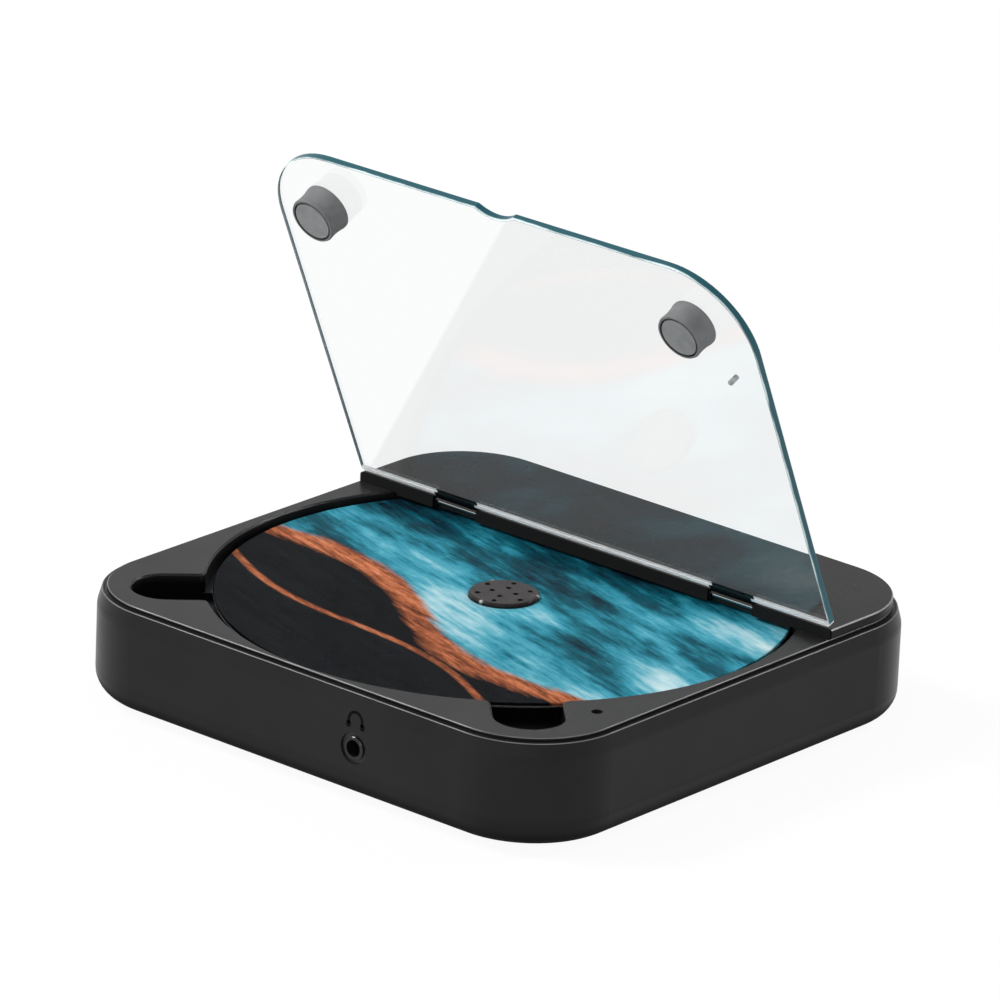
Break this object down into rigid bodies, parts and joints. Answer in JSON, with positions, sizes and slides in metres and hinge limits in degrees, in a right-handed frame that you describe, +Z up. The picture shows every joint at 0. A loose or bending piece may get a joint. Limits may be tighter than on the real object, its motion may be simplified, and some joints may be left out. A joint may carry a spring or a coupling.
{
  "type": "external disc player",
  "caption": "Flat square disc player: hinged clear lid with magnet bumpers, recessed disc well with finger notches, spindle, sliding pickup and headphone socket.",
  "frame": {"origin": "on the surface under the feet, below the middle of the body", "axes": "+Z up, -Y out of the front face with the headphone socket, +X to the right seen from the front"},
  "size_m": [0.1329, 0.1276, 0.109],
  "materials": {
    "satin_shell": "satin moulded",
    "panel_black": "semi-gloss moulded",
    "clear_acrylic": "polished clear acrylic with tinted edges",
    "grey_bumper": "satin grey",
    "magnet_cap": "dark grey coated",
    "magnet": "nickel plated",
    "steel": "ground steel",
    "hinge_black": "satin",
    "lid_pin_dark": "satin",
    "disc_print": "printed and lacquered",
    "hub_dark": "semi-gloss",
    "pad_rubber": "matt",
    "foot_rubber": "matt",
    "motor_can": "plated can",
    "frame_plastic": "glass-filled moulding",
    "sled_metal": "die cast",
    "lens": "coated lens",
    "board_green": "solder mask",
    "chip_black": "moulded package",
    "screw_steel": "zinc plated",
    "jack_black": "gloss",
    "cell_wrap": "foil pouch",
    "button_black": "satin",
    "ribbon": "polyester film"
  },
  "bodies": {
    "case": {"base_shell": "satin_shell", "battery": "cell_wrap", "board_chips": "chip_black", "board_screws": "screw_steel", "case_screws": "screw_steel", "damper_grommets": "pad_rubber", "damper_screws": "screw_steel", "front_left_foot": "foot_rubber", "front_right_foot": "foot_rubber", "headphone_jack": "jack_black", "idle_guide_rod": "steel", "jack_ring": "jack_black", "left_catch_magnet": "magnet", "left_hinge_pin": "steel", "lid_switch": "frame_plastic", "main_board": "board_green", "main_guide_rod": "steel", "mechanism_chassis": "frame_plastic", "motor_ribbon": "ribbon", "panel_screws": "screw_steel", "rear_left_foot": "foot_rubber", "rear_panel": "panel_black", "rear_right_foot": "foot_rubber", "right_catch_magnet": "magnet", "right_hinge_pin": "steel", "side_board": "board_green", "sled_motor": "motor_can", "spindle_motor": "motor_can", "tact_switches": "chip_black", "top_deck": "satin_shell", "usb_inlet": "steel"},
    "lid": {"lid_plate": "clear_acrylic", "left_lid_bumper": "grey_bumper", "right_lid_bumper": "grey_bumper", "left_lid_magnet": "magnet_cap", "right_lid_magnet": "magnet_cap", "left_hinge_clip": "hinge_black", "right_hinge_clip": "hinge_black", "lid_pin": "lid_pin_dark"},
    "turntable": {"turntable_hub": "hub_dark", "hub_balls": "steel", "turntable_pad": "pad_rubber", "spindle_shaft": "steel", "compact_disc": "disc_print"},
    "sled": {"pickup_sled": "sled_metal"},
    "lens": {"lens_holder": "frame_plastic", "objective_lens": "lens"},
    "screw": {"lead_screw": "steel"},
    "switch": {"switch_plunger": "frame_plastic"},
    "next_key": {"next_button": "button_black"},
    "play_key": {"play_button": "button_black"},
    "previous_key": {"previous_button": "button_black"},
    "power_key": {"power_slider": "button_black"}
  },
  "joints": [
    {"name": "lid_hinge", "type": "hinge", "parent": "case", "child": "lid", "pos_m": [0, 0.0299, 0.025], "axis": [-1, 0, 0], "range_deg": [-66, 39]},
    {"name": "disc_spin", "type": "hinge", "parent": "case", "child": "turntable", "pos_m": [0, 0.001, 0.02], "axis": [0, 0, 1], "continuous": true},
    {"name": "sled_slide", "type": "slide", "parent": "case", "child": "sled", "axis": [0.7431, 0.6691, 0], "range_m": [0, 0.0318]},
    {"name": "screw_turn", "type": "hinge", "parent": "case", "child": "screw", "pos_m": [0.01326, 0.03111, 0.0143], "axis": [0.7431, 0.6691, 0], "range_deg": [-10, 3826]},
    {"name": "lens_focus", "type": "slide", "parent": "sled", "child": "lens", "axis": [0, 0, 1], "range_m": [-0.0003, 0.0003], "stiffness_N_per_m": 60},
    {"name": "switch_press", "type": "slide", "parent": "case", "child": "switch", "axis": [0, 0, -1], "range_m": [0, 0.0006], "stiffness_N_per_m": 400, "springref_m": -0.0006},
    {"name": "next_press", "type": "slide", "parent": "case", "child": "next_key", "axis": [1, 0, 0], "range_m": [0, 0.0005], "stiffness_N_per_m": 400, "springref_m": -0.0006},
    {"name": "play_press", "type": "slide", "parent": "case", "child": "play_key", "axis": [1, 0, 0], "range_m": [0, 0.0005], "stiffness_N_per_m": 400, "springref_m": -0.0006},
    {"name": "previous_press", "type": "slide", "parent": "case", "child": "previous_key", "axis": [1, 0, 0], "range_m": [0, 0.0005], "stiffness_N_per_m": 400, "springref_m": -0.0006},
    {"name": "power_slide", "type": "slide", "parent": "case", "child": "power_key", "axis": [0, 1, 0], "range_m": [0, 0.003]}
  ],
  "couplings": [
    {"joint": "screw_turn", "follows": "sled_slide", "rad_per_m": 2094.4}
  ]
}
